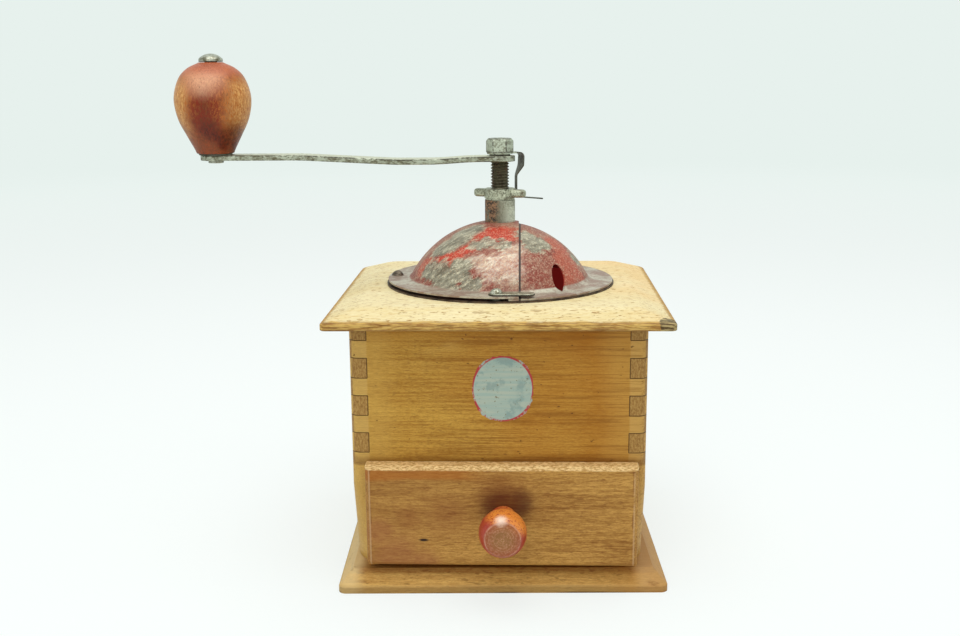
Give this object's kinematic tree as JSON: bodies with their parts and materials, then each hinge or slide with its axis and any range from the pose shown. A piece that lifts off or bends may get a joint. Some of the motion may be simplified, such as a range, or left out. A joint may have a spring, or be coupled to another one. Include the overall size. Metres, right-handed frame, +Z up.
{
  "type": "manual coffee grinder",
  "caption": "Wooden box coffee mill with a domed metal hopper, a sliding hopper shutter, a hand crank with a pear-shaped knob, conical burrs, a grind-adjusting plate and a drawer.",
  "frame": {"origin": "middle of the base board's underside, on the spindle's axis", "axes": "+Z up along the spindle, -Y towards the drawer's front, +X to the right; the crank points to -X at rest"},
  "size_m": [0.2042, 0.1537, 0.2107],
  "materials": {
    "case_wood": "worn varnish",
    "top_wood": "bare, worn",
    "base_wood": "worn varnish",
    "turned_wood": "worn red stain",
    "red_paint": "scratched paint",
    "plain_steel": "tarnished",
    "spring_steel": "dark",
    "cast_iron": "cast"
  },
  "bodies": {
    "case": {"base_board": "base_wood", "base_screws": "plain_steel", "side_board_left": "case_wood", "side_board_right": "case_wood", "front_board": "case_wood", "back_board": "case_wood", "top_board": "top_wood", "hopper_shell": "red_paint", "hopper_funnel": "plain_steel", "ring_screws": "plain_steel", "shell_screws": "plain_steel", "screw_spacers": "plain_steel", "front_clip": "plain_steel", "rear_clip": "plain_steel", "clip_rivet": "plain_steel", "shaft_collar": "plain_steel", "burr_ring": "cast_iron", "burr_bolts": "plain_steel", "bottom_bridge": "cast_iron", "bridge_screws": "plain_steel"},
    "drawer": {"drawer_front": "case_wood", "drawer_side_left": "case_wood", "drawer_side_right": "case_wood", "drawer_back": "case_wood", "drawer_bottom": "case_wood", "drawer_knob": "turned_wood", "drawer_knob_screw": "plain_steel"},
    "shutter": {"hopper_shutter": "red_paint"},
    "keyed_washer": {"thrust_washer": "plain_steel"},
    "crank": {"spindle": "plain_steel", "burr_cone": "cast_iron", "cone_pin": "plain_steel", "crank_arm": "plain_steel", "crank_nut": "plain_steel", "leaf_clamp": "spring_steel", "knob_pin": "plain_steel", "knob_washer": "plain_steel"},
    "plate": {"adjusting_plate": "plain_steel"},
    "leaf": {"leaf_spring": "spring_steel"},
    "knob": {"crank_knob": "turned_wood"}
  },
  "joints": [
    {"name": "drawer_slide", "type": "slide", "parent": "case", "child": "drawer", "axis": [0, -1, 0], "range_m": [0, 0.085]},
    {"name": "shutter_swing", "type": "hinge", "parent": "case", "child": "shutter", "pos_m": [0, 0, 0.1154], "axis": [0, 0, 1], "range_deg": [0, 86]},
    {"name": "crank_spin", "type": "hinge", "parent": "case", "child": "keyed_washer", "pos_m": [0, 0, 0.1495], "axis": [0, 0, 1], "continuous": true},
    {"name": "grind_lift", "type": "slide", "parent": "keyed_washer", "child": "crank", "axis": [0, 0, 1], "range_m": [0, 0.00031]},
    {"name": "adjuster_turn", "type": "hinge", "parent": "keyed_washer", "child": "plate", "pos_m": [0, 0, 0.152], "axis": [0, 0, 1], "range_deg": [-90, 0]},
    {"name": "leaf_flex", "type": "hinge", "parent": "crank", "child": "leaf", "pos_m": [0.00629, 0.00307, 0.1688], "axis": [0.4384, -0.8988, 0], "range_deg": [0, 10], "stiffness_Nm_per_rad": 0.05},
    {"name": "knob_spin", "type": "hinge", "parent": "crank", "child": "knob", "pos_m": [-0.1207, 0, 0.17], "axis": [0, 0, 1], "continuous": true}
  ],
  "couplings": [
    {"joint": "adjuster_turn", "follows": "grind_lift", "rad_per_m": -5026.5}
  ]
}
